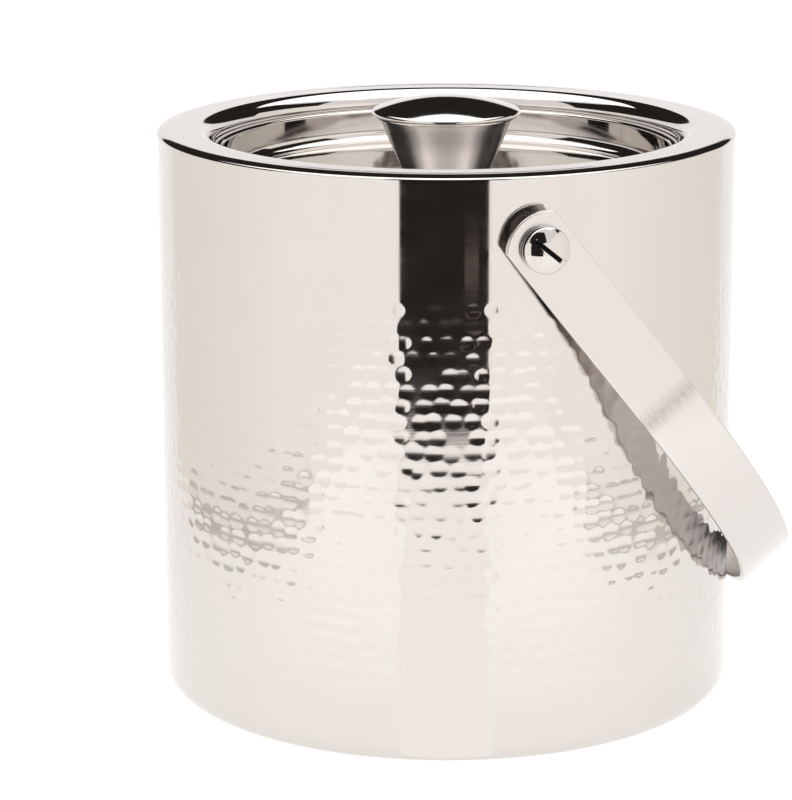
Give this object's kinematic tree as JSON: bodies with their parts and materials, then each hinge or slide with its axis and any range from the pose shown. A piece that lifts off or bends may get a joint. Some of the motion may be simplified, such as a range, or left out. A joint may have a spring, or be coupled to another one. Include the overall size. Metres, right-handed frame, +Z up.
{
  "type": "ice bucket",
  "caption": "Round double-wall ice bucket with a wide flat rim, a hammered outer wall, a recessed lid with a flared knob and a flat strap bail handle.",
  "frame": {"origin": "centre of the base, on the bucket's axis, at the surface it stands on", "axes": "+Z up; the handle's pivots lie along Y, and the handle rests on the +X side"},
  "size_m": [0.2072, 0.215, 0.1979],
  "materials": {
    "hammered_steel": "mirror polished stainless, hammered below a smooth band",
    "polished_steel": "mirror polished stainless",
    "knob_steel": "mirror polished stainless",
    "satin_steel": "fine satin brushed along the strap",
    "screw_steel": "polished",
    "plain_steel": "mill finish",
    "zinc_steel": "zinc plated",
    "nylon": "natural nylon"
  },
  "bodies": {
    "bucket": {"outer_shell": "hammered_steel", "base_plate": "plain_steel", "inner_liner": "polished_steel", "backing_pad_front": "plain_steel", "backing_pad_back": "plain_steel", "pivot_spacer_front": "screw_steel", "pivot_spacer_back": "screw_steel", "pivot_screw_front": "screw_steel", "pivot_screw_back": "screw_steel", "head_washer_front": "screw_steel", "head_washer_back": "screw_steel", "nut_washer_front": "zinc_steel", "nut_washer_back": "zinc_steel", "lock_nut_front": "zinc_steel", "lock_nut_back": "zinc_steel"},
    "handle": {"handle_strap": "satin_steel", "pivot_bush_front": "nylon", "pivot_bush_back": "nylon"},
    "lid": {"lid_pan": "polished_steel", "knob_body": "knob_steel", "knob_cap": "knob_steel", "knob_insert": "zinc_steel", "knob_screw": "zinc_steel", "knob_washer": "zinc_steel"}
  },
  "joints": [
    {"name": "handle_swing", "type": "hinge", "parent": "bucket", "child": "handle", "pos_m": [0, 0, 0.1665], "axis": [0, -1, 0], "range_deg": [0, 283.18]},
    {"name": "lid_lift", "type": "slide", "parent": "bucket", "child": "lid", "axis": [0, 0, 1], "range_m": [0, 0.18]}
  ]
}
